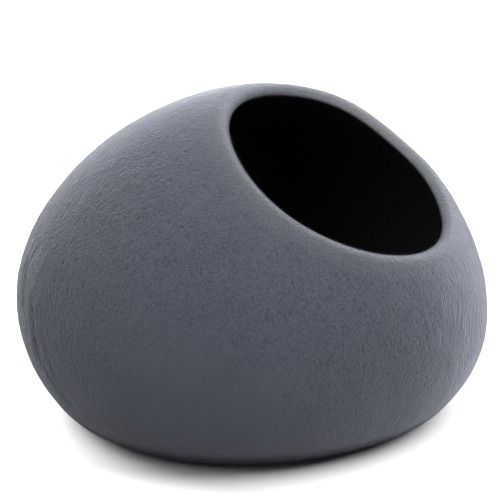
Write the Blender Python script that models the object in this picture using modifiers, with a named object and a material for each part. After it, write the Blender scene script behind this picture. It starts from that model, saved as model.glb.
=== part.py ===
"""A seamless felted wool pet cave: a flattened egg-shaped hollow with a slanting oval mouth.

Metres, +Z up. The mouth faces -Y and upwards. The origin is on the floor, at the middle of the base.
The felt is one piece: it is wet-felted round a form and the mouth is cut out of it, so there is one solid.
"""

import math
from typing import NamedTuple

import bmesh
import bpy
from mathutils import Vector

# Outer form: an ellipsoid whose crown is drawn in a little at its shoulders and whose belly is filled out.
HALF_WIDTH = 0.240
HALF_DEPTH = 0.236
WAIST_HEIGHT = 0.1095
CROWN_RISE = 0.2235
CROWN_DRAWN_IN = 0.038  # share taken off the shoulders, halfway up
CROWN_LEAN = 0.005  # the top leans this far towards the mouth
BELLY_DROP = 0.1625
BELLY_FILLED_OUT = 0.039  # share added halfway down
FLOOR_BLEND = 0.022  # over this height the belly rounds into the flat base

# Felt and mouth.
WALL = 0.010
MOUTH_TILT = math.radians(57.8)  # the mouth's axis above the floor
MOUTH_HALF_ANGLE = math.radians(31.7)
MOUTH_OVAL = 0.024  # how much longer the mouth is up its slope than across
LIP_ROUND = 0.0042
TURN_IN = 0.0008  # the outer face draws in by this much at the lip
TURN_IN_BAND = 0.10  # over this share of the way from the lip to the far side

# Mesh fineness.
SEGMENTS = 72
RINGS = 30
CAP_RINGS = 4  # rings of the starting sphere that are cut away for the mouth
RING_CROWDING = 1.15  # rings lie closer together near the mouth
LIP_STEPS = 3
LIP_EDGE = math.radians(50)  # sharper edges than this are rounded

FELT_COLOUR = (0.094, 0.100, 0.126, 1.0)
FELT_ROUGHNESS = 0.95


class Lobe(NamedTuple):
    """A broad, low swelling or hollow of the hand-felted wall, placed by its direction from the waist's middle."""

    place: str
    azimuth: float  # degrees round Z from +X
    elevation: float  # degrees
    rise: float  # metres outwards


LOBE_SPREAD = math.radians(24.0)
LOBES = (
    Lobe("back, full", 128, 9, 0.0016),
    Lobe("crown, flattened", 90, 70, -0.0049),
    Lobe("under the mouth, full", -64, -9, 0.0051),
    Lobe("front corner of the base, drawn in", -124, -37, -0.0036),
    Lobe("back corner of the base, drawn in", 148, -25, -0.0036),
)


def direction(azimuth, elevation):
    """The unit vector of a direction given in radians."""
    level = math.cos(elevation)
    return Vector((level * math.cos(azimuth), level * math.sin(azimuth), math.sin(elevation)))


def above_floor(height):
    """The height kept at or above the floor, with a soft bend over FLOOR_BLEND."""
    if height <= -FLOOR_BLEND:
        return 0.0
    if height >= FLOOR_BLEND:
        return height
    return (height + FLOOR_BLEND) ** 2 / (4 * FLOOR_BLEND)


def lobe_rise(way):
    """How far all the lobes together push the wall outwards in this direction."""
    total = 0.0
    for lobe in LOBES:
        middle = direction(math.radians(lobe.azimuth), math.radians(lobe.elevation))
        apart = math.acos(max(-1.0, min(1.0, way.dot(middle))))
        total += lobe.rise * math.exp(-((apart / LOBE_SPREAD) ** 2))
    return total


def egg_point(way):
    """The plain egg form in this direction, before the lobes."""
    crown = way.z > 0
    halfway = (2 * way.z * math.hypot(way.x, way.y)) ** 2
    size = 1 + (CROWN_DRAWN_IN if crown else -BELLY_FILLED_OUT) * halfway
    height = way.z / size
    rise = (CROWN_RISE if crown else BELLY_DROP) * height
    lean = CROWN_LEAN * height**2 if crown else 0.0
    x = HALF_WIDTH * way.x / size
    y = HALF_DEPTH * way.y / size - lean
    return Vector((x, y, above_floor(WAIST_HEIGHT + rise)))


def outer_point(way):
    """The point of the felt's outer face in this direction from the waist's middle."""
    egg = egg_point(way)
    ray = egg - Vector((0.0, 0.0, WAIST_HEIGHT))
    point = egg + ray.normalized() * lobe_rise(way)
    point.z = 0.0 if egg.z == 0.0 else max(point.z, 0.0)
    return point


def mouth_angle(turn):
    """The angle between the mouth's axis and its edge, at this turn round the axis from +X."""
    return MOUTH_HALF_ANGLE * (1 - MOUTH_OVAL * math.cos(2 * turn))


def skin_point(turn, along):
    """The outer face at a turn round the mouth's axis, from the lip (along = 0) to the far side (along = 1)."""
    axis = direction(-math.pi / 2, MOUTH_TILT)
    across = Vector((1.0, 0.0, 0.0))
    upslope = axis.cross(across)
    edge = mouth_angle(turn)
    polar = edge + (math.pi - edge) * along**RING_CROWDING
    round_axis = across * math.cos(turn) + upslope * math.sin(turn)
    way = axis * math.cos(polar) + round_axis * math.sin(polar)
    point = outer_point(way)
    if along < TURN_IN_BAND:
        near_lip = 1 - along / TURN_IN_BAND
        point -= way * TURN_IN * near_lip**2
    return point


def felt_material():
    """Grey-blue wool felt."""
    material = bpy.data.materials.new("wool_felt")
    material.use_nodes = True
    shader = material.node_tree.nodes["Principled BSDF"]
    shader.inputs["Base Color"].default_value = FELT_COLOUR
    shader.inputs["Roughness"].default_value = FELT_ROUGHNESS
    shader.inputs["Metallic"].default_value = 0.0
    material.diffuse_color = FELT_COLOUR
    return material


def centre_over_origin(bm):
    """Moves the skin level, so that the middle of its outline from above is at the origin."""
    for axis in (0, 1):
        places = [v.co[axis] for v in bm.verts]
        middle = (min(places) + max(places)) / 2
        for v in bm.verts:
            v.co[axis] -= middle


def open_skin():
    """The felt's outer face as an open mesh: a sphere without its cap, drawn over the egg form."""
    mesh = bpy.data.meshes.new("cave_shell")
    bm = bmesh.new()
    all_rings = RINGS + CAP_RINGS
    bmesh.ops.create_uvsphere(bm, u_segments=SEGMENTS, v_segments=all_rings, radius=1.0)
    ring_angle = math.pi / all_rings
    lip = CAP_RINGS * ring_angle
    cap = [v for v in bm.verts if math.acos(max(-1.0, min(1.0, v.co.z))) < lip - ring_angle / 2]
    bmesh.ops.delete(bm, geom=cap, context="VERTS")
    for v in bm.verts:
        polar = math.acos(max(-1.0, min(1.0, v.co.z)))
        along = max(0.0, (polar - lip) / (math.pi - lip))
        v.co = skin_point(math.atan2(v.co.y, v.co.x), along)
    centre_over_origin(bm)
    bmesh.ops.recalc_face_normals(bm, faces=bm.faces)
    bm.to_mesh(mesh)
    bm.free()
    return mesh


def cave_shell(collection):
    """The one-piece felt wall, with its rounded lip."""
    mesh = open_skin()
    mesh.materials.append(felt_material())
    shell = bpy.data.objects.new("cave_shell", mesh)
    collection.objects.link(shell)

    wall = shell.modifiers.new("felt wall", "SOLIDIFY")
    wall.thickness = WALL
    wall.offset = -1.0
    wall.use_even_offset = True

    lip = shell.modifiers.new("rounded lip", "BEVEL")
    lip.limit_method = "ANGLE"
    lip.angle_limit = LIP_EDGE
    lip.width = LIP_ROUND
    lip.segments = LIP_STEPS

    mesh.shade_smooth()
    return shell


def main():
    for thing in list(bpy.data.objects):
        bpy.data.objects.remove(thing, do_unlink=True)
    collection = bpy.data.collections.new("felt_cave")
    bpy.context.scene.collection.children.link(collection)
    cave_shell(collection)


main()
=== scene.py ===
"""Looks of a seamless felted wool pet cave: a flattened egg of felt with a slanting oval mouth.

The wall is one closed shell that geometry nodes draw from the sizes of its solid, with the lumps and wrinkles
that hand felting leaves. Loose wool fibres stand off it, thickest along the lip of the mouth.
Metres, +Z up. The mouth faces -Y and upwards, and the cave stands on the floor at z = 0.
"""

import logging
import math
from collections.abc import Sequence
from dataclasses import dataclass, field
from enum import Enum
from typing import Any, Union

import bpy
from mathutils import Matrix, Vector


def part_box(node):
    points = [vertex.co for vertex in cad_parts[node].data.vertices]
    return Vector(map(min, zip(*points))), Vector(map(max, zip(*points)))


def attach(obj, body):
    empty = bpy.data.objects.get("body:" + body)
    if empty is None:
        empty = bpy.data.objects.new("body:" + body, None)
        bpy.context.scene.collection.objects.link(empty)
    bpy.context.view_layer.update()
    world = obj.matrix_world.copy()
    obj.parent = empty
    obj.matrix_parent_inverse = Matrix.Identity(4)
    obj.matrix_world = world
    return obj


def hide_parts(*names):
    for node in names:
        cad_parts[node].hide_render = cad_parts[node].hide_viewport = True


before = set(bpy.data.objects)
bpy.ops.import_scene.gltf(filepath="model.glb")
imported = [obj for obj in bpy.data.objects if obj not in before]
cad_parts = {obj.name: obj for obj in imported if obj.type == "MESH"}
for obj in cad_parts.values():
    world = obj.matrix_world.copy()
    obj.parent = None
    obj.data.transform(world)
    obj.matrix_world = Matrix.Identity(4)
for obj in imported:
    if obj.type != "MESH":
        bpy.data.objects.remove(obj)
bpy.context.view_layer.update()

SHELL_NODE = "cave_shell"
ROOT_BODY = "root"
INNER_SIDE = "inner_side"  # 0 on the outer face of the felt, 1 on its inner face
LIP_DISTANCE = "lip_distance"  # metres along the felt from the crest of the lip
PAINTED_INNER_SHADE = "painted_inner_shade"  # painted shade inside the cave: as inner_side, but reaching further over the lip's near side, where its crest is shaded
PAINTED_LIGHT = "lip_painted_light"  # painted light: how much of the paler colour shows, as painted sheen along the lip and painted light on the shoulder below it
FACE_MIDDLE = (-0.19, -0.13, 0.17)  # the middle of the outer face that is worked flat; folds lie around it
FACE_REACH = 0.20
FOLDED_MIDDLE = (-0.198, 0.115, 0.175)  # and they are deepest here
FOLDED_REACH = 0.105
PHOTO_PIXELS = 500
SEED_STEP = 101  # between the seeds of a fibre's random numbers
TIP_TAPER = 0.85  # how much of a fibre's thickness is lost at its tip

Colour = tuple[float, float, float, float]
Value = Union["Term", bpy.types.NodeSocket, float, Sequence[float]]

log = logging.getLogger("felt_cave")


# ---------------------------------------------------------------------------------------------------------------
# Node trees written as Python expressions
# ---------------------------------------------------------------------------------------------------------------


class Term:
    """A number in a node tree. Python's operators join it to other terms with Math nodes."""

    def __init__(self, graph: "Graph", socket: bpy.types.NodeSocket) -> None:
        """Wraps an output socket of that graph's tree."""
        self.graph = graph
        self.socket = socket

    def then(self, operation: str, *others: Value) -> "Term":
        """The result of a Math operation on this term and others, in that order."""
        return self.graph.math(operation, self, *others)

    def __add__(self, other: Value) -> "Term":
        """self + other."""
        return self.then("ADD", other)

    def __radd__(self, other: Value) -> "Term":
        """other + self."""
        return self.graph.math("ADD", other, self)

    def __sub__(self, other: Value) -> "Term":
        """self - other."""
        return self.then("SUBTRACT", other)

    def __rsub__(self, other: Value) -> "Term":
        """other - self."""
        return self.graph.math("SUBTRACT", other, self)

    def __mul__(self, other: Value) -> "Term":
        """self * other."""
        return self.then("MULTIPLY", other)

    def __rmul__(self, other: Value) -> "Term":
        """other * self."""
        return self.graph.math("MULTIPLY", other, self)

    def __truediv__(self, other: Value) -> "Term":
        """self / other."""
        return self.then("DIVIDE", other)

    def __rtruediv__(self, other: Value) -> "Term":
        """other / self."""
        return self.graph.math("DIVIDE", other, self)

    def __pow__(self, other: Value) -> "Term":
        """self to the power of other."""
        return self.then("POWER", other)

    def __rpow__(self, other: Value) -> "Term":
        """other to the power of self."""
        return self.graph.math("POWER", other, self)

    def __neg__(self) -> "Term":
        """The term with its sign turned."""
        return self.then("MULTIPLY", -1.0)

    def __abs__(self) -> "Term":
        """The term without its sign."""
        return self.then("ABSOLUTE")

    def above(self, limit: Value) -> "Term":
        """1 where the term is over the limit, else 0."""
        return self.then("GREATER_THAN", limit)

    def clamp(self, low: float, high: float) -> "Term":
        """The term kept between low and high."""
        return self.then("MAXIMUM", low).then("MINIMUM", high)

    def step(self, low: float, high: float) -> "Term":
        """A smooth rise from 0 at low to 1 at high, or a fall where low is over high."""
        share = ((self - low) / (high - low)).clamp(0.0, 1.0)
        return share * share * (3.0 - 2.0 * share)


class Graph:
    """A shader or geometry tree, filled in by short calls."""

    def __init__(self, tree: bpy.types.NodeTree) -> None:
        """Starts on a tree that may already hold nodes."""
        self.tree = tree

    def node(
        self,
        kind: str,
        settings: dict[str, Any] | None = None,
        inputs: dict[str | int, Value] | None = None,
    ) -> bpy.types.Node:
        """Adds a node.

        Args:
            kind: the node's type.
            settings: its properties, which are set first.
            inputs: the values or links of its sockets, by socket name or number.

        Returns:
            The new node.
        """
        made = self.tree.nodes.new(kind)
        for name, value in (settings or {}).items():
            setattr(made, name, value)
        for key, value in (inputs or {}).items():
            self.plug(made.inputs[key], value)
        return made

    def plug(self, socket: bpy.types.NodeSocket, value: Value) -> None:
        """Links a term or socket to an input, or sets the input's own value."""
        if isinstance(value, Term):
            value = value.socket
        if isinstance(value, bpy.types.NodeSocket):
            self.tree.links.new(value, socket)
        else:
            socket.default_value = value

    def math(self, operation: str, *operands: Value) -> Term:
        """The result of a Math node."""
        made = self.node("ShaderNodeMath", {"operation": operation}, dict(enumerate(operands)))
        return Term(self, made.outputs[0])

    def vector_math(self, operation: str, *operands: Value) -> bpy.types.NodeSocket:
        """The vector that a Vector Math node gives."""
        made = self.node("ShaderNodeVectorMath", {"operation": operation}, dict(enumerate(operands)))
        return made.outputs[0]

    def scaled(self, vector: Value, factor: Value) -> bpy.types.NodeSocket:
        """A vector times a number."""
        made = self.node("ShaderNodeVectorMath", {"operation": "SCALE"}, {0: vector, "Scale": factor})
        return made.outputs[0]

    def split(self, vector: Value) -> tuple[Term, Term, Term]:
        """A vector's three numbers."""
        made = self.node("ShaderNodeSeparateXYZ", None, {0: vector})
        return Term(self, made.outputs[0]), Term(self, made.outputs[1]), Term(self, made.outputs[2])

    def joined(self, x: Value, y: Value, z: Value) -> bpy.types.NodeSocket:
        """A vector from three numbers."""
        return self.node("ShaderNodeCombineXYZ", None, {0: x, 1: y, 2: z}).outputs[0]

    def noise(self, place: Value, grain: Value, detail: float = 2.0, distortion: float = 0.0) -> Term:
        """Soft random values from 0 to 1 over space.

        Args:
            place: the position that is read.
            grain: how many features there are to a metre.
            detail: how many finer layers are added.
            distortion: how much the features are bent.

        Returns:
            The value.
        """
        sockets = {"Vector": place, "Scale": grain, "Detail": detail, "Roughness": 0.5, "Distortion": distortion}
        return Term(self, self.node("ShaderNodeTexNoise", {"noise_dimensions": "3D"}, sockets).outputs[0])

    def read(self, name: str) -> Term:
        """A number that a piece keeps on its points, for a shader."""
        return Term(self, self.node("ShaderNodeAttribute", {"attribute_name": name}).outputs["Fac"])

    def clear_of(self, place: Value, middle: Sequence[float], reach: float) -> Term:
        """A value that is 0 at a point and rises to 1 around it.

        Args:
            place: the position that is read.
            middle: the point.
            reach: how far from the point the value has risen to about 0.63.

        Returns:
            The value.
        """
        x, y, z = self.split(self.vector_math("SUBTRACT", place, middle))
        return 1.0 - ((x * x + y * y + z * z) * (-1.0 / reach**2)).then("EXPONENT")

    def mixed(self, share: Value, first: Value, second: Value) -> bpy.types.NodeSocket:
        """A colour that goes from the first to the second as share goes from 0 to 1."""
        made = self.node("ShaderNodeMix", {"data_type": "RGBA"}, {"Factor": share})
        colours = [socket for socket in made.inputs if socket.type == "RGBA"]
        self.plug(colours[0], first)
        self.plug(colours[1], second)
        return next(socket for socket in made.outputs if socket.type == "RGBA")


class Maker(Graph):
    """A geometry tree with named inputs, and the modifier run that turns it into a plain mesh."""

    def __init__(self, name: str) -> None:
        """Starts an empty geometry tree of that name."""
        super().__init__(bpy.data.node_groups.new(name, "GeometryNodeTree"))
        self.tree.interface.new_socket("Geometry", in_out="OUTPUT", socket_type="NodeSocketGeometry")
        self._entry = self.tree.nodes.new("NodeGroupInput")
        self._settings: dict[str, Any] = {}

    def named(self, name: str, value: Any, kind: str = "NodeSocketFloat") -> Term:
        """Adds an input of the tree.

        Args:
            name: what the input is called.
            value: what the modifier sets it to.
            kind: the input's socket type.

        Returns:
            The input as a term.
        """
        socket = self.tree.interface.new_socket(name, in_out="INPUT", socket_type=kind)
        self._settings[socket.identifier] = value
        return Term(self, next(s for s in self._entry.outputs if s.identifier == socket.identifier))

    def source(self) -> Term:
        """Adds the input that receives the object's own mesh."""
        socket = self.tree.interface.new_socket("Source", in_out="INPUT", socket_type="NodeSocketGeometry")
        return Term(self, next(s for s in self._entry.outputs if s.identifier == socket.identifier))

    def finish(self, geometry: bpy.types.NodeSocket, material: bpy.types.Material) -> None:
        """Ends the tree: instances become mesh, and the mesh takes the material."""
        chosen = self.named("Material", material, "NodeSocketMaterial")
        real = self.node("GeometryNodeRealizeInstances", None, {0: geometry})
        dressed = self.node("GeometryNodeSetMaterial", None, {"Geometry": real.outputs[0], "Material": chosen})
        self.node("NodeGroupOutput", None, {0: dressed.outputs[0]})

    def run(self, name: str, material: bpy.types.Material, start: bpy.types.Mesh | None = None) -> bpy.types.Object:
        """Evaluates the tree on an object and keeps the result as a plain mesh.

        Args:
            name: the new object's name.
            material: the material of the result.
            start: the mesh that the tree receives, or None for a tree that needs none.

        Returns:
            The new object, at the origin and with no modifier.
        """
        carrier_mesh = start.copy() if start else bpy.data.meshes.new(name + "_start")
        carrier = bpy.data.objects.new(name + "_carrier", carrier_mesh)
        bpy.context.scene.collection.objects.link(carrier)
        modifier = carrier.modifiers.new(name, "NODES")
        modifier.node_group = self.tree
        for identifier, value in self._settings.items():
            modifier[identifier] = value
        graph = bpy.context.evaluated_depsgraph_get()
        mesh = bpy.data.meshes.new_from_object(carrier.evaluated_get(graph), depsgraph=graph)
        mesh.name = name
        mesh.materials.clear()
        mesh.materials.append(material)
        bpy.data.objects.remove(carrier, do_unlink=True)
        piece = bpy.data.objects.new(name, mesh)
        bpy.context.scene.collection.objects.link(piece)
        return piece


# ---------------------------------------------------------------------------------------------------------------
# Finishes
# ---------------------------------------------------------------------------------------------------------------


def worked_in_folds(graph: Graph, place: Value) -> Term:
    """How strongly the felt is folded at a position: most on one flank, less all round, and not on its flat face."""
    deepest = 1.0 - graph.clear_of(place, FOLDED_MIDDLE, FOLDED_REACH)
    return graph.clear_of(place, FACE_MIDDLE, FACE_REACH) * (0.2 + 1.3 * deepest)


@dataclass(frozen=True)
class Patch:
    """A patch where the skin is smoother or rougher: its middle, its reach, and the roughness that is left there."""

    middle: tuple[float, float, float]
    reach: float
    kept: float

    def left(self, graph: Graph, place: Value) -> Term:
        """The share of the roughness that is left at a position."""
        return self.kept + (1.0 - self.kept) * graph.clear_of(place, self.middle, self.reach)


@dataclass(frozen=True)
class FeltFinish:
    """Wet-felted wool: blue-grey outside, matt with a soft sheen at its edges. Painted shade colours it nearly black
    inside and darker under its base and in its folds, and painted sheen lightens its lip.
    """

    outer_dark: Colour = (0.044, 0.050, 0.068, 1.0)
    outer_light: Colour = (0.092, 0.102, 0.135, 1.0)
    fibre_fleck: Colour = (0.160, 0.172, 0.210, 1.0)
    lip_sheen_colour: Colour = (0.246, 0.252, 0.274, 1.0)  # painted sheen: the paler colour along the lip, for the light its rounded edge catches
    # painted shade: the inside is coloured nearly black for the shade inside the cave
    inner: Colour = (0.036, 0.036, 0.041, 1.0)
    sheen: float = 0.62
    sheen_roughness: float = 0.60
    sheen_tint: Colour = (0.84, 0.875, 1.0, 1.0)
    inner_from: float = 0.15  # where the painted inner shade starts, through the lip's thickness
    inner_to: float = 1.0
    pebble_grain: float = 300.0  # features to a metre, as every grain here
    pebble_height: float = 0.00055
    pebble_tone: float = 1.5  # how much it lightens the wool on its rises and darkens it in its pits: partly the wool's grain, partly painted shade
    wrinkle_grain: float = 215.0
    wrinkle_height: float = 0.00070
    wrinkle_tone: float = 1.3
    nap_grain: float = 700.0
    nap_height: float = 0.00030
    nap_tone: float = 3.6
    fold_grain: float = 115.0
    fold_stretch: float = 0.4  # of the folds' grain, upwards
    fold_height: float = 0.0030
    fold_shade: float = 1.6  # painted shade: how much darker the folds are coloured
    fold_patches: float = 6.0  # grain of the patches where they are deeper
    fold_start: tuple[float, float] = (0.004, 0.030)  # from the lip's crest, where they set in
    fleck_grain: float = 620.0
    fleck_share: float = 0.6
    mottle_grain: float = 14.0
    mottle_tone: float = 0.6
    patch_grain: float = 9.0
    rough_limits: tuple[float, float] = (0.04, 1.35)
    ragged_grain: float = 260.0  # of the line where the painted inner shade starts
    base_shade: float = 0.8  # painted shade: how dark the underside is coloured, where it turns in to the floor
    base_shade_from: float = 0.010
    base_shade_to: float = 0.029
    # painted shade: the colour the underside darkens to
    base_shade_colour: Colour = (0.012, 0.013, 0.016, 1.0)
    pressed: Patch = Patch((-0.22, -0.08, 0.04), 0.22, 0.0)
    patches: tuple[Patch, ...] = (
        Patch((0.05, -0.24, 0.13), 0.11, 0.2),
        Patch((-0.10, -0.02, 0.34), 0.16, 0.4),
        Patch((-0.215, 0.085, 0.16), 0.10, 2.6),
        Patch((-0.10, -0.21, 0.14), 0.08, 1.2),
        Patch((0.19, -0.16, 0.15), 0.06, 0.7),
    )

    def material(self) -> bpy.types.Material:
        """Builds the felt's material.

        Returns:
            The material, which reads Object coordinates and the shell's own attributes.
        """
        material = bpy.data.materials.new("wool_felt")
        material.use_nodes = True
        graph = Graph(material.node_tree)
        outer = material.node_tree.nodes["Principled BSDF"]
        place = graph.node("ShaderNodeTexCoord").outputs["Object"]
        x, y, z = graph.split(place)
        patchy = (graph.noise(place, self.patch_grain, detail=1.0) - 0.5) * 0.4
        rough = (self.pressed.left(graph, place) * 2.0 + patchy).clamp(*self.rough_limits)
        for patch in self.patches:
            rough = rough * patch.left(graph, place)

        mottle = graph.noise(place, self.mottle_grain, detail=3.0) - 0.5
        pebble = graph.noise(place, self.pebble_grain, detail=2.0, distortion=0.3) - 0.5
        wrinkle = self._ridges(graph, place, self.wrinkle_grain)
        deeper = graph.noise(place, self.fold_patches, detail=1.0).step(0.38, 0.62)
        folded = worked_in_folds(graph, place) * (0.5 + 0.8 * deeper)
        fold = self._ridges(graph, graph.joined(x, y, z * self.fold_stretch), self.fold_grain) * folded
        nap = graph.noise(place, self.nap_grain, detail=2.0, distortion=0.4) - 0.5
        fleck = graph.noise(place, self.fleck_grain, detail=2.0, distortion=0.8).step(0.56, 0.78)
        # the tone follows the relief, lighter on its rises and darker in its pits: partly grain, partly painted shade
        skin_tone = (pebble * self.pebble_tone + wrinkle * self.wrinkle_tone + nap * self.nap_tone) * rough
        # painted shade: the tone darkens along the folds
        tone = 0.5 + mottle * self.mottle_tone + skin_tone - fold * self.fold_shade
        colour = graph.mixed(tone.clamp(0.0, 1.0), self.outer_dark, self.outer_light)
        colour = graph.mixed(fleck * self.fleck_share * rough, colour, self.fibre_fleck)
        # painted sheen along the lip, and painted light on the shoulder below it
        colour = graph.mixed(graph.read(PAINTED_LIGHT), colour, self.lip_sheen_colour)
        # painted shade: darker towards the floor on the underside
        contact_shade = z.step(self.base_shade_to, self.base_shade_from)
        colour = graph.mixed(self.base_shade * contact_shade, colour, self.base_shade_colour)
        graph.plug(outer.inputs["Base Color"], colour)
        graph.plug(outer.inputs["Roughness"], 0.97 - fleck * 0.12)
        outer.inputs["Specular IOR Level"].default_value = 0.2
        outer.inputs["Sheen Weight"].default_value = self.sheen
        outer.inputs["Sheen Roughness"].default_value = self.sheen_roughness
        outer.inputs["Sheen Tint"].default_value = self.sheen_tint

        skin = (pebble * self.pebble_height + wrinkle * self.wrinkle_height + nap * self.nap_height) * rough
        height = skin - fold * self.fold_height * graph.read(LIP_DISTANCE).step(*self.fold_start)
        bump = graph.node("ShaderNodeBump", None, {"Strength": 1.0, "Distance": 1.0, "Height": height})
        graph.plug(outer.inputs["Normal"], bump.outputs[0])

        # painted shade: a nearly black shader without sheen for the shaded inside, mixed in by the inner side's mask
        inner = graph.node("ShaderNodeBsdfPrincipled", None, {"Base Color": self.inner, "Specular IOR Level": 0.1})
        graph.plug(inner.inputs["Roughness"], 0.94 + nap * 0.05)
        graph.plug(inner.inputs["Normal"], bump.outputs[0])

        painted_inner_shade = graph.read(PAINTED_INNER_SHADE)
        ragged = (graph.noise(place, self.ragged_grain, detail=2.0) - 0.5) * 0.4
        share = (painted_inner_shade + ragged * (1.0 - painted_inner_shade)).step(self.inner_from, self.inner_to)
        # painted shade: the underside also takes the dark inner shader
        share = share.then("MAXIMUM", self.base_shade * contact_shade)
        both = graph.node("ShaderNodeMixShader", None, {0: share, 1: outer.outputs[0], 2: inner.outputs[0]})
        graph.plug(material.node_tree.nodes["Material Output"].inputs["Surface"], both.outputs[0])
        return material

    @staticmethod
    def _ridges(graph: Graph, place: Value, grain: float) -> Term:
        """The wandering wrinkles of the felt's skin, about 0 on average and higher on their ridges."""
        coarse = graph.noise(place, grain, detail=2.0, distortion=0.9)
        ridge = 1.0 - abs(2.0 * coarse - 1.0)
        return ridge * ridge - 0.65


@dataclass(frozen=True)
class FibreFinish:
    """Single wool fibres that catch more light than the felt they stand on."""

    colour: Colour = (0.070, 0.079, 0.106, 1.0)
    pale: Colour = (0.130, 0.144, 0.184, 1.0)
    painted_inner_shade: Colour = (0.030, 0.030, 0.034, 1.0)  # painted shade: darker where they stand in the painted inner shade

    def material(self) -> bpy.types.Material:
        """Builds the fibres' material.

        Returns:
            The material, mottled from fibre to fibre.
        """
        material = bpy.data.materials.new("loose_wool_fibre")
        material.use_nodes = True
        graph = Graph(material.node_tree)
        shader = material.node_tree.nodes["Principled BSDF"]
        place = graph.node("ShaderNodeTexCoord").outputs["Object"]
        tone = graph.noise(place, 240.0, detail=1.0).step(0.35, 0.70)
        outer = graph.mixed(tone, self.colour, self.pale)
        # painted shade: the fibres darken where the felt's painted inner shade is
        graph.plug(shader.inputs["Base Color"], graph.mixed(graph.read(PAINTED_INNER_SHADE).step(0.1, 0.7), outer, self.painted_inner_shade))
        graph.plug(shader.inputs["Roughness"], 0.75 + tone * 0.15)
        shader.inputs["Sheen Weight"].default_value = 0.3
        return material


@dataclass(frozen=True)
class FloorFinish:
    """A plain studio floor, nearly white."""

    colour: Colour = (0.93, 0.93, 0.935, 1.0)

    def material(self) -> bpy.types.Material:
        """Builds the floor's material, with the faintest unevenness in its gloss."""
        material = bpy.data.materials.new("studio_floor")
        material.use_nodes = True
        graph = Graph(material.node_tree)
        shader = material.node_tree.nodes["Principled BSDF"]
        place = graph.node("ShaderNodeTexCoord").outputs["Object"]
        shader.inputs["Base Color"].default_value = self.colour
        shader.inputs["Specular IOR Level"].default_value = 0.0
        graph.plug(shader.inputs["Roughness"], 0.93 + graph.noise(place, 3.0) * 0.05)
        return material


# ---------------------------------------------------------------------------------------------------------------
# The felt wall
# ---------------------------------------------------------------------------------------------------------------


@dataclass(frozen=True)
class Lobe:
    """A broad swelling or hollow of the hand-felted wall, placed by its direction from the waist's middle."""

    azimuth: float
    elevation: float
    rise: float
    spread: float = 24.0

    def middle(self) -> Vector:
        """The unit vector towards the lobe."""
        turn, tilt = math.radians(self.azimuth), math.radians(self.elevation)
        return Vector((math.cos(tilt) * math.cos(turn), math.cos(tilt) * math.sin(turn), math.sin(tilt)))


@dataclass(frozen=True)
class Wave:
    """A wave in the hand-cut edge of the mouth: how often it comes round, and its size as shares of the edge."""

    times: int
    cosine: float
    sine: float


@dataclass(frozen=True)
class Crease:
    """A shallow crease in the skin, along a path of points on the outer face."""

    path: tuple[tuple[float, float, float], ...]
    width: float
    depth: float

    def fall(self, maker: Maker, place: Value) -> Term:
        """How far the skin sinks there.

        Args:
            maker: the tree.
            place: the position on the outer face.

        Returns:
            The sink in metres, which fades out away from the path.
        """
        stretches = [self._apart(maker, place, *ends) for ends in zip(self.path, self.path[1:], strict=False)]
        nearest = stretches[0]
        for apart in stretches[1:]:
            nearest = nearest.then("MINIMUM", apart)
        return (nearest * (-1.0 / self.width**2)).then("EXPONENT") * self.depth

    @staticmethod
    def _apart(maker: Maker, place: Value, start: Sequence[float], end: Sequence[float]) -> Term:
        """The square of the distance to the straight stretch between two points."""
        along = Vector(end) - Vector(start)
        x, y, z = maker.split(maker.vector_math("SUBTRACT", place, start))
        share = ((x * along.x + y * along.y + z * along.z) / along.length_squared).clamp(0.0, 1.0)
        off_x, off_y, off_z = x - share * along.x, y - share * along.y, z - share * along.z
        return off_x * off_x + off_y * off_y + off_z * off_z


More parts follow.
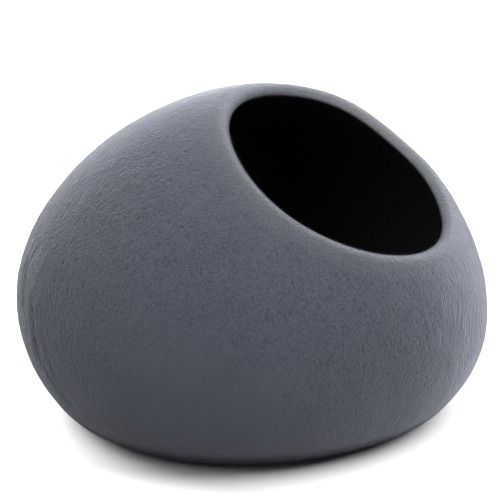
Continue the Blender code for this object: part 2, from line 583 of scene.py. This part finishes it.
@dataclass
class FeltShell:
    """The one-piece felt wall, as a closed shell from the middle of its inner face round the lip to its base."""

    half_width: float = 0.240
    half_depth: float = 0.236
    waist_height: float = 0.1095
    crown_rise: float = 0.2235
    crown_drawn_in: float = 0.038
    crown_lean: float = 0.005
    belly_drop: float = 0.1625
    belly_filled_out: float = 0.039
    floor_blend: float = 0.022
    flat_size: tuple[float, float] = (0.80, 0.74)  # of the felt before it was worked hollow
    flat_area: float = 0.54
    wall: float = 0.010
    lip: float = 0.0125  # thickness at the lip, from which the wall thins
    lip_thinning: float = 0.040
    nose: float = 0.0105  # how far along the felt the lip's round reaches on its outer face
    inner_nose: float = 0.0060  # and on its inner face
    crest_depth: float = 0.68  # where the crest lies, through the felt
    painted_shade_over: float = 0.52  # painted shade: how much further the dark inside comes over the lip's near side, where its crest is shaded
    near_turn: float = math.radians(195.0)  # the middle of that side, round the mouth's axis
    # painted sheen: how strongly the paler colour is laid along the lip, and how much more on its far side
    lip_painted_light: float = 0.56
    lip_pale_band: float = 0.030
    far_lip_paler: float = 1.0
    shoulder_paleness: float = 0.09  # painted light on the wide shoulder below the lip's near side
    shoulder_band: float = 0.13
    shoulder_turn: float = math.radians(165.0)  # its middle, round the mouth's axis
    unlit_crest_band: tuple[float, float] = (0.0005, 0.008)  # from the crest, where the painted sheen is left off the near lip, as painted shade on its crest
    mouth_tilt: float = math.radians(57.8)
    mouth_half_angle: float = math.radians(31.2)
    mouth_waves: tuple[Wave, ...] = (
        Wave(1, -0.0202, -0.0174),
        Wave(2, -0.0535, -0.0247),
        Wave(3, -0.0138, -0.0161),
    )
    turn_in: float = 0.0008
    turn_in_band: float = 0.030
    lobes: tuple[Lobe, ...] = (
        Lobe(128, 9, 0.0016),
        Lobe(90, 70, -0.0049),
        Lobe(-64, -9, 0.0051),
        Lobe(-124, -37, -0.0036),
        Lobe(148, -25, -0.0036),
        Lobe(-20, 61, 0.0036, 13.0),
        Lobe(-46, 36, 0.0018, 13.0),
        Lobe(-66, -16, 0.0010, 15.0),
        Lobe(97, 64, 0.0009, 22.0),
    )
    lump_height: float = 0.0009  # lumps a hand's breadth apart
    lump_grain: float = 9.0
    dent_height: float = 0.0009  # finger dents
    dent_grain: float = 26.0
    skin_start: tuple[float, float] = (0.004, 0.020)  # from the crest, where dents and wrinkles set in
    relief_start: float = 0.014  # height above the floor over which the relief sets in
    wrinkle_height: float = 0.0016  # the coarsest of the skin's wrinkles
    wrinkle_grain: float = 64.0  # wrinkles to a metre, across them
    wrinkle_stretch: float = 0.40  # of their grain, upwards
    creases: tuple[Crease, ...] = (
        Crease(
            (
                (-0.2080, 0.1130, 0.1400),
                (-0.2133, 0.1069, 0.1153),
                (-0.2129, 0.0999, 0.0835),
                (-0.2159, 0.0804, 0.0647),
                (-0.2179, 0.0574, 0.0502),
            ),
            0.0042,
            0.0018,
        ),
        Crease(
            ((-0.2225, 0.0870, 0.1180), (-0.2245, 0.0780, 0.0920), (-0.2205, 0.0673, 0.0640), (-0.2205, 0.050, 0.052)),
            0.0032,
            0.0009,
        ),
        Crease(((-0.1700, 0.1520, 0.1780), (-0.1860, 0.1410, 0.1550), (-0.1940, 0.1345, 0.1280)), 0.0036, 0.0012),
    )
    around: int = 480
    inner_rings: int = 24
    lip_rings: int = 14
    outer_rings: int = 166
    metres_per_radian: float = 0.22  # of arc, near the lip
    probe: float = 0.002  # step for the slope of the outer face
    base_share: float = 0.2  # how much coarser the rings grow towards the base
    finish: FeltFinish = field(default_factory=FeltFinish)

    def build(self) -> bpy.types.Object:
        """Draws the shell and seats it where its solid is.

        Returns:
            The finished piece.
        """
        material = self.finish.material()
        maker = Maker("felt_shell")
        self._sizes = {
            name: maker.named(name.replace("_", " ").title(), getattr(self, name))
            for name in (
                "half_width",
                "half_depth",
                "waist_height",
                "crown_rise",
                "crown_drawn_in",
                "crown_lean",
                "belly_drop",
                "belly_filled_out",
                "floor_blend",
                "wall",
                "lip",
                "nose",
                "inner_nose",
                "crest_depth",
                "mouth_half_angle",
                "turn_in",
                "lump_height",
                "dent_height",
                "wrinkle_height",
            )
        }
        self._draw(maker, material)
        piece = maker.run("felt_wall", material)
        self._seat(piece)
        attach(piece, ROOT_BODY)
        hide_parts(SHELL_NODE)
        return piece

    def _draw(self, maker: Maker, material: bpy.types.Material) -> None:
        """Fills the tree: a sphere whose upper rings become the inner face and whose lower rings the outer."""
        rings = self.inner_rings + self.lip_rings + self.outer_rings
        sphere = maker.node("GeometryNodeMeshUVSphere", None, {"Segments": self.around, "Rings": rings})
        x, y, z = maker.split(maker.node("GeometryNodeInputPosition").outputs[0])
        turn = y.then("ARCTAN2", x)
        ring = z.clamp(-1.0, 1.0).then("ARCCOSINE") * (rings / math.pi)

        polar, through, from_lip = self._profile(turn, ring)
        outer, normal = self._face(maker, turn, polar)
        relief = self._relief(maker, outer, through, from_lip)
        inward = maker.scaled(normal, relief - through * self._thickness(from_lip))
        moved = maker.vector_math("ADD", outer, inward)
        new_x, new_y, new_z = maker.split(moved)
        place = maker.joined(new_x, new_y, new_z.then("MAXIMUM", 0.0))

        near_side = (turn - self.near_turn).then("COSINE")
        # painted shade: the dark inside, reaching further over the crest on the lip's near side
        painted_inner_shade = through + near_side * through * (1.0 - through) * (4.0 * self.painted_shade_over)
        far_side = (0.5 - 0.5 * near_side) ** 2.0
        # painted sheen along the lip, strongest on its far side
        near_lip = 1.0 - (from_lip / self.lip_pale_band).clamp(0.0, 1.0)
        # painted shade: no painted sheen on the near lip's crest, which stays darker
        unlit_crest = (1.0 - far_side) * (1.0 - from_lip.step(*self.unlit_crest_band))
        pale = near_lip**1.6 * (1.0 - unlit_crest) * self.lip_painted_light * (1.0 + far_side * self.far_lip_paler)
        # painted light: a paler colour on the shoulder below the mouth's near side
        shoulder = 1.0 - (from_lip / self.shoulder_band).clamp(0.0, 1.0)
        shoulder_side = (turn - self.shoulder_turn).then("COSINE").clamp(0.0, 1.0)
        pale = pale + shoulder**1.5 * shoulder_side * self.shoulder_paleness
        marked = self._stored(maker, sphere.outputs[0], INNER_SIDE, through)
        marked = self._stored(maker, marked, LIP_DISTANCE, from_lip)
        marked = self._stored(maker, marked, PAINTED_INNER_SHADE, painted_inner_shade)
        marked = self._stored(maker, marked, PAINTED_LIGHT, pale.clamp(0.0, 1.0))
        shaped = maker.node("GeometryNodeSetPosition", None, {"Geometry": marked, "Position": place})
        smooth = maker.node("GeometryNodeSetShadeSmooth", None, {0: shaped.outputs[0]})
        maker.finish(smooth.outputs[0], material)

    @staticmethod
    def _stored(maker: Maker, geometry: bpy.types.NodeSocket, name: str, value: Term) -> bpy.types.NodeSocket:
        """Keeps a number on every point, under a name that the material reads."""
        settings = {"data_type": "FLOAT", "domain": "POINT"}
        sockets = {"Geometry": geometry, "Name": name, "Value": value}
        return maker.node("GeometryNodeStoreNamedAttribute", settings, sockets).outputs[0]

    def _profile(self, turn: Term, ring: Term) -> tuple[Term, Term, Term]:
        """The wall's section, ring by ring, with a fully rounded lip.

        Args:
            turn: the turn round the mouth's axis.
            ring: the ring's number, from the middle of the inner face.

        Returns:
            The angle from the mouth's axis, the share of the way from the outer face through the felt, and the
            distance from the lip's crest.
        """
        inner = (1.0 - ring / self.inner_rings).clamp(0.0, 1.0)
        bend = ((ring - self.inner_rings) / self.lip_rings).clamp(0.0, 1.0) * math.pi
        first_outer = self.inner_rings + self.lip_rings
        outer = ((ring - first_outer) / self.outer_rings).clamp(0.0, 1.0)

        size = self._sizes
        edge = size["mouth_half_angle"]
        for wave in self.mouth_waves:
            round_mouth = turn * float(wave.times)
            swing = round_mouth.then("COSINE") * wave.cosine + round_mouth.then("SINE") * wave.sine
            edge = edge + size["mouth_half_angle"] * swing
        inward = bend.then("COSINE")
        on_inner = inward.above(0.0)
        nose = (on_inner * size["inner_nose"] + (1.0 - on_inner) * size["nose"]) / self.metres_per_radian
        paced = outer * (1.0 - self.base_share) + self.base_share * outer**6.0
        beyond = inner**1.2 + paced
        from_edge = nose * (1.0 - bend.then("SINE")) + (math.pi - edge - nose) * beyond
        depth = on_inner * (1.0 - size["crest_depth"]) + (1.0 - on_inner) * size["crest_depth"]
        through = size["crest_depth"] + depth * inward
        return edge + from_edge, through, from_edge * self.metres_per_radian

    def _thickness(self, from_lip: Term) -> Term:
        """How thick the felt is at that distance from the lip's crest."""
        near_lip = 1.0 - (from_lip / self.lip_thinning).clamp(0.0, 1.0)
        return self._sizes["wall"] + (self._sizes["lip"] - self._sizes["wall"]) * near_lip * near_lip

    def _face(self, maker: Maker, turn: Term, polar: Term) -> tuple[bpy.types.NodeSocket, bpy.types.NodeSocket]:
        """The outer face's point and outward normal at an angle from the mouth's axis and a turn round it."""
        axis = (0.0, -math.cos(self.mouth_tilt), math.sin(self.mouth_tilt))
        upslope = (0.0, math.sin(self.mouth_tilt), math.cos(self.mouth_tilt))
        cos_polar, sin_polar = polar.then("COSINE"), polar.then("SINE")
        cos_turn, sin_turn = turn.then("COSINE"), turn.then("SINE")

        way = (
            sin_polar * cos_turn,
            cos_polar * axis[1] + sin_polar * sin_turn * upslope[1],
            cos_polar * axis[2] + sin_polar * sin_turn * upslope[2],
        )
        away = (
            cos_polar * cos_turn,
            cos_polar * sin_turn * upslope[1] - sin_polar * axis[1],
            cos_polar * sin_turn * upslope[2] - sin_polar * axis[2],
        )
        sideways = (-sin_turn, cos_turn * upslope[1], cos_turn * upslope[2])

        point = self._outer_point(maker, way)
        slopes = []
        for tangent in (away, sideways):
            near = tuple(w + t * self.probe for w, t in zip(way, tangent, strict=True))
            slopes.append(maker.vector_math("SUBTRACT", self._outer_point(maker, near), point))
        normal = maker.vector_math("NORMALIZE", maker.vector_math("CROSS_PRODUCT", *slopes))
        return point, normal

    def _outer_point(self, maker: Maker, way: tuple[Term, Term, Term]) -> bpy.types.NodeSocket:
        """The point of the outer face in that direction from the waist's middle."""
        size = self._sizes
        x, y, z = way
        level = (x * x + y * y).then("SQRT")
        crown = z.above(0.0)
        halfway = 2.0 * z * level
        drawn = crown * size["crown_drawn_in"] - (1.0 - crown) * size["belly_filled_out"]
        spread = 1.0 + drawn * halfway * halfway
        height = z / spread
        rise = (crown * size["crown_rise"] + (1.0 - crown) * size["belly_drop"]) * height
        lean = crown * size["crown_lean"] * height * height
        blend = size["floor_blend"]
        free = size["waist_height"] + rise
        soft = (free + blend).then("MAXIMUM", 0.0).then("MINIMUM", 2.0 * blend)
        floored = soft * soft / (4.0 * blend) + (free - blend).then("MAXIMUM", 0.0)
        egg = maker.joined(size["half_width"] * x / spread, size["half_depth"] * y / spread - lean, floored)

        middle = maker.joined(0.0, 0.0, size["waist_height"])
        ray = maker.vector_math("NORMALIZE", maker.vector_math("SUBTRACT", egg, middle))
        moved = maker.vector_math("ADD", egg, maker.scaled(ray, self._lobe_rise(way)))
        moved_x, moved_y, moved_z = maker.split(moved)
        return maker.joined(moved_x, moved_y, moved_z.then("MAXIMUM", 0.0) * floored.above(0.0))

    def _lobe_rise(self, way: tuple[Term, Term, Term]) -> Term:
        """How far all the lobes together push the wall outwards in that direction."""
        rises = []
        for lobe in self.lobes:
            middle = lobe.middle()
            along = way[0] * middle.x + way[1] * middle.y + way[2] * middle.z
            apart = along.clamp(-1.0, 1.0).then("ARCCOSINE") / math.radians(lobe.spread)
            rises.append((-(apart * apart)).then("EXPONENT") * lobe.rise)
        total = rises[0]
        for rise in rises[1:]:
            total = total + rise
        return total

    def _relief(self, maker: Maker, outer: bpy.types.NodeSocket, through: Term, from_lip: Term) -> Term:
        """The height of lumps, dents and wrinkles over the plain form, gone where the base meets the floor.

        Args:
            maker: the tree.
            outer: the plain outer face's point.
            through: the share of the way from the outer face through the felt.
            from_lip: the distance from the lip's crest.

        Returns:
            The height along the outward normal.
        """
        size = self._sizes
        x, y, height = maker.split(outer)
        lumps = (maker.noise(outer, self.lump_grain, detail=1.0) - 0.5) * 2.0
        dents = (maker.noise(outer, self.dent_grain, detail=2.0, distortion=0.3) - 0.5) * 2.0
        stretched = maker.joined(x, y, height * self.wrinkle_stretch)
        folds = abs(maker.noise(stretched, self.wrinkle_grain, detail=2.0, distortion=0.8) * 2.0 - 1.0)
        skin = (folds - 0.2) * worked_in_folds(maker, outer) * size["wrinkle_height"]
        for crease in self.creases:
            skin = skin - crease.fall(maker, outer)
        clear_of_floor = height.step(0.0, self.relief_start)
        outside = 1.0 - through
        past_lip = from_lip.step(*self.skin_start)
        broad = lumps * size["lump_height"] + dents * size["dent_height"] * past_lip
        near_lip = 1.0 - (from_lip / self.turn_in_band).clamp(0.0, 1.0)
        turned_in = size["turn_in"] * near_lip * near_lip
        return (broad + skin * past_lip * outside) * clear_of_floor - turned_in

    def _seat(self, piece: bpy.types.Object) -> None:
        """Moves the mesh level, so that its outline from above has the middle that the solid's has."""
        low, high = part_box(SHELL_NODE)
        points = [vertex.co for vertex in piece.data.vertices]
        for axis in (0, 1):
            places = [point[axis] for point in points]
            shift = (low[axis] + high[axis] - min(places) - max(places)) / 2
            for point in points:
                point[axis] += shift


class Growth(Enum):
    """Where loose fibres stand: the name of the piece, how many to a square metre, and their mean length."""

    WALL = ("wall_fibres", 21000.0, 0.0034)
    LIP = ("lip_fibres", 300000.0, 0.0028)


@dataclass
class LooseFibres:
    """Single wool fibres that have worked loose from the felt, each a thin bent hair with a pointed tip."""

    growth: Growth
    radius: float = 0.00004
    lip_band: float = 0.016  # the lip's fibres stand this near its crest
    lip_through: float = 0.9  # and this far through the felt, from its outer face
    wall_through: float = 0.5  # as far as the wall's fibres go
    wall_above: float = 0.006  # and the height they start at
    seed: int = 7
    finish: FibreFinish = field(default_factory=FibreFinish)

    def build(self, shell: bpy.types.Object) -> bpy.types.Object:
        """Grows the fibres on the shell.

        Args:
            shell: the felt wall.

        Returns:
            The fibres, joined in one piece.
        """
        name, density, length = self.growth.value
        material = self.finish.material()
        maker = Maker(name)
        source = maker.source()
        per_area = maker.named("Fibres Per Square Metre", density)
        mean = maker.named("Mean Length", length)
        thin = maker.named("Radius", self.radius)
        seed = maker.named("Seed", self.seed, "NodeSocketInt")

        sockets = {"Mesh": source, "Density": per_area, "Seed": seed, "Selection": self._where(maker)}
        points = maker.node("GeometryNodeDistributePointsOnFaces", {"distribute_method": "RANDOM"}, sockets)
        spin = self._random(maker, 0.0, 2 * math.pi, seed, 1)
        tip_over = self._random(maker, -0.5, 0.7, seed, 2)
        turn = maker.node("FunctionNodeEulerToRotation", None, {0: maker.joined(tip_over, 0.0, spin)})
        aimed = maker.node(
            "FunctionNodeRotateRotation",
            {"rotation_space": "LOCAL"},
            {"Rotation": points.outputs["Rotation"], "Rotate By": turn.outputs[0]},
        )
        reach = mean * self._random(maker, 0.5, 1.5, seed, 3)
        arch = mean * self._random(maker, 0.15, 0.75, seed, 4)
        sockets = {
            "Points": points.outputs[0],
            "Instance": self._fibre(maker, thin / mean),
            "Rotation": aimed.outputs[0],
            "Scale": maker.joined(reach, mean, arch),
        }
        grown = maker.node("GeometryNodeInstanceOnPoints", None, sockets)
        maker.finish(grown.outputs[0], material)
        piece = maker.run(name, material, shell.data)
        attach(piece, ROOT_BODY)
        return piece

    def _where(self, maker: Maker) -> Term:
        """1 on the felt that carries these fibres, and 0 elsewhere."""
        through = self._kept(maker, INNER_SIDE)
        from_lip = self._kept(maker, LIP_DISTANCE)
        _, _, height = maker.split(maker.node("GeometryNodeInputPosition").outputs[0])
        if self.growth is Growth.LIP:
            return from_lip.then("LESS_THAN", self.lip_band) * through.then("LESS_THAN", self.lip_through)
        return through.then("LESS_THAN", self.wall_through) * height.above(self.wall_above)

    @staticmethod
    def _kept(maker: Maker, name: str) -> Term:
        """Reads a number that the shell keeps on its points."""
        made = maker.node("GeometryNodeInputNamedAttribute", {"data_type": "FLOAT"}, {"Name": name})
        return Term(maker, made.outputs[0])

    @staticmethod
    def _random(maker: Maker, low: float, high: float, seed: Term, draw: int) -> Term:
        """A different number between low and high for each fibre."""
        made = maker.node("FunctionNodeRandomValue", {"data_type": "FLOAT"})
        numbers = [socket for socket in made.inputs if socket.type == "VALUE" and socket.enabled]
        maker.plug(numbers[0], low)
        maker.plug(numbers[1], high)
        maker.plug(made.inputs["Seed"], seed + float(draw * SEED_STEP))
        return Term(maker, next(s for s in made.outputs if s.type == "VALUE" and s.enabled))

    @staticmethod
    def _fibre(maker: Maker, radius: Term) -> bpy.types.NodeSocket:
        """One fibre a unit long, of three sides, that rises and bends over along +X."""
        arc = maker.node(
            "GeometryNodeCurveQuadraticBezier",
            None,
            {"Resolution": 2, "Start": (0.0, 0.0, -0.06), "Middle": (0.35, 0.05, 0.95), "End": (1.0, 0.15, 0.75)},
        )
        along = Term(maker, maker.node("GeometryNodeSplineParameter").outputs["Factor"])
        sockets = {"Curve": arc.outputs[0], "Radius": 1.0 - TIP_TAPER * along}
        tapered = maker.node("GeometryNodeSetCurveRadius", None, sockets)
        ring = maker.node("GeometryNodeCurvePrimitiveCircle", {"mode": "RADIUS"}, {"Resolution": 3, "Radius": radius})
        sockets = {"Curve": tapered.outputs[0], "Profile Curve": ring.outputs[0], "Fill Caps": True}
        return maker.node("GeometryNodeCurveToMesh", None, sockets).outputs[0]


# ---------------------------------------------------------------------------------------------------------------
# Studio
# ---------------------------------------------------------------------------------------------------------------


class Lit(Enum):
    """What a lamp shines on."""

    CAVE = "cave"
    FLOOR = "floor"


@dataclass(frozen=True)
class Lamp:
    """A soft light far away, placed by its turn to the right of the camera and its height, in degrees."""

    name: str
    turn: float
    elevation: float
    strength: float
    softness: float
    lit: Lit = Lit.CAVE


@dataclass
class Studio:
    """The pale floor, the soft light from above and all sides, and the camera at the photograph's angle."""

    lamps: tuple[Lamp, ...] = (
        Lamp("right_rim_light", 135.0, 12.0, 2.7, 22.0),
        Lamp("back_light", 172.0, 35.0, 2.02, 50.0),
        Lamp("right_key_light", 50.0, 40.0, 2.12, 50.0),
        Lamp("left_fill_light", -42.0, 45.0, 1.45, 60.0),
        Lamp("left_rim_light", -155.0, 0.0, 3.3, 22.0),
        Lamp("bounce_light", 125.0, -22.0, 0.6, 40.0),
        Lamp("floor_right_light", 90.0, 50.0, 4.65, 50.0, Lit.FLOOR),
        Lamp("floor_back_light", -135.0, 30.0, 6.9, 50.0, Lit.FLOOR),
        Lamp("floor_left_light", -45.0, 50.0, 1.0, 50.0, Lit.FLOOR),
    )
    azimuth: float = -54.36
    elevation: float = 18.0
    distance: float = 2.2
    aim_right: float = -0.0009
    aim_height: float = 0.1612
    focal_pixels: float = 2164.1
    floor_size: float = 40.0
    air_strength: float = 0.03
    sensor: float = 36.0

    def build(self) -> None:
        """Makes the floor, the lights and the camera."""
        floor = self._floor()
        self._world()
        for lamp in self.lamps:
            self._sun(lamp, floor)
        self._camera()

    def _floor(self) -> bpy.types.Object:
        """A flat floor under the cave, which throws no light back up at it."""
        bpy.ops.mesh.primitive_plane_add(size=self.floor_size)
        floor = bpy.context.active_object
        floor.name = "studio_floor"
        floor.visible_diffuse = False
        floor.data.materials.append(FloorFinish().material())
        return floor

    def _world(self) -> None:
        """A little even white light from all round."""
        world = bpy.data.worlds.new("studio_air")
        world.use_nodes = True
        background = world.node_tree.nodes["Background"]
        background.inputs["Color"].default_value = (1.0, 1.0, 1.0, 1.0)
        background.inputs["Strength"].default_value = self.air_strength
        bpy.context.scene.world = world
        bpy.context.scene.view_settings.view_transform = "Standard"

    @staticmethod
    def _towards(azimuth: float, elevation: float) -> Vector:
        """The unit vector from the cave towards a viewer there; azimuth 0 is on the -Y side, 90 on the +X side."""
        turn, tilt = math.radians(azimuth), math.radians(elevation)
        return Vector((math.sin(turn) * math.cos(tilt), -math.cos(turn) * math.cos(tilt), math.sin(tilt)))

    def _sun(self, lamp: Lamp, floor: bpy.types.Object) -> None:
        """A broad soft light from far away, on the floor alone, or on all but the floor and not shaded by it."""
        data = bpy.data.lights.new(lamp.name, "SUN")
        data.energy = lamp.strength
        data.angle = math.radians(lamp.softness)
        sun = bpy.data.objects.new(lamp.name, data)
        bpy.context.scene.collection.objects.link(sun)
        towards = self._towards(self.azimuth + lamp.turn, lamp.elevation)
        sun.rotation_mode = "QUATERNION"
        sun.rotation_quaternion = towards.to_track_quat("Z", "Y")
        sun.location = towards * self.distance
        linked = bpy.data.collections.new(lamp.name + "_receivers")
        linked.objects.link(floor)
        sun.light_linking.receiver_collection = linked
        if lamp.lit is Lit.CAVE:
            linked.collection_objects[0].light_linking.link_state = "EXCLUDE"
            sun.light_linking.blocker_collection = linked

    def _camera(self) -> None:
        """The camera, with the photograph's framing."""
        data = bpy.data.cameras.new("camera")
        data.sensor_width = self.sensor
        data.lens = self.focal_pixels / PHOTO_PIXELS * self.sensor
        camera = bpy.data.objects.new("camera", data)
        bpy.context.scene.collection.objects.link(camera)
        back = self._towards(self.azimuth, self.elevation)
        turn = math.radians(self.azimuth)
        aim = Vector((math.cos(turn), math.sin(turn), 0.0)) * self.aim_right + Vector((0.0, 0.0, self.aim_height))
        camera.location = aim + back * self.distance
        camera.rotation_mode = "QUATERNION"
        camera.rotation_quaternion = back.to_track_quat("Z", "Y")
        bpy.context.scene.camera = camera


def report(piece: bpy.types.Object) -> None:
    """Logs a piece's name, triangles and box."""
    piece.data.calc_loop_triangles()
    low = [min(vertex.co[axis] for vertex in piece.data.vertices) for axis in range(3)]
    high = [max(vertex.co[axis] for vertex in piece.data.vertices) for axis in range(3)]
    log.info("%s: %d triangles, from %s to %s", piece.name, len(piece.data.loop_triangles), low, high)


def main() -> None:
    """Builds the studio, the felt wall and its loose fibres."""
    logging.basicConfig(level=logging.INFO, format="%(message)s")
    Studio().build()
    felt = FeltShell()
    shell = felt.build()
    fibres = [LooseFibres(growth).build(shell) for growth in Growth]
    for piece in (shell, *fibres):
        report(piece)


if __name__ == "__main__":
    main()
